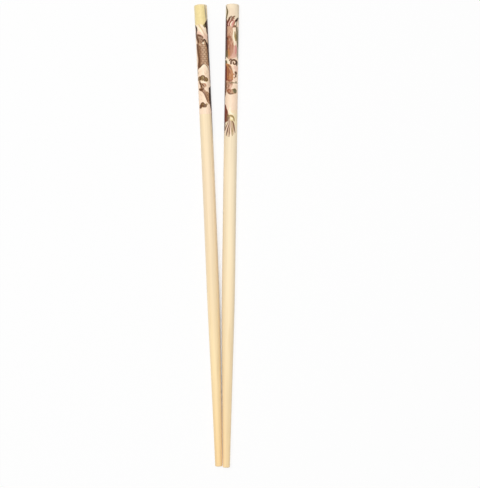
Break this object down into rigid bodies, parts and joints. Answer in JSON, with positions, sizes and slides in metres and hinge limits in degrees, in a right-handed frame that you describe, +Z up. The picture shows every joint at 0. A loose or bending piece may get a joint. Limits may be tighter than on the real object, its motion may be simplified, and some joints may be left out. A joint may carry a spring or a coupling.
{
  "type": "pair of bamboo chopsticks",
  "caption": "Pair of round bamboo chopsticks with flat butts, straight shanks and long tapered tips, laid as a narrow V, with a printed ornament round the upper third.",
  "frame": {"origin": "on the surface that the sticks lie on, below the middle of the pair's bounding box", "axes": "+Y along the sticks towards their thick butt ends, -Y towards the tips, +X to the right stick as seen from above with the tips nearest, +Z up from the surface"},
  "size_m": [0.0236, 0.2404, 0.007],
  "materials": {
    "bamboo": "sanded smooth, bare",
    "print_ink": "thin brown transfer print with a faint sheen"
  },
  "bodies": {
    "root": {"chopstick_left": "bamboo", "chopstick_right": "bamboo"}
  },
  "joints": []
}
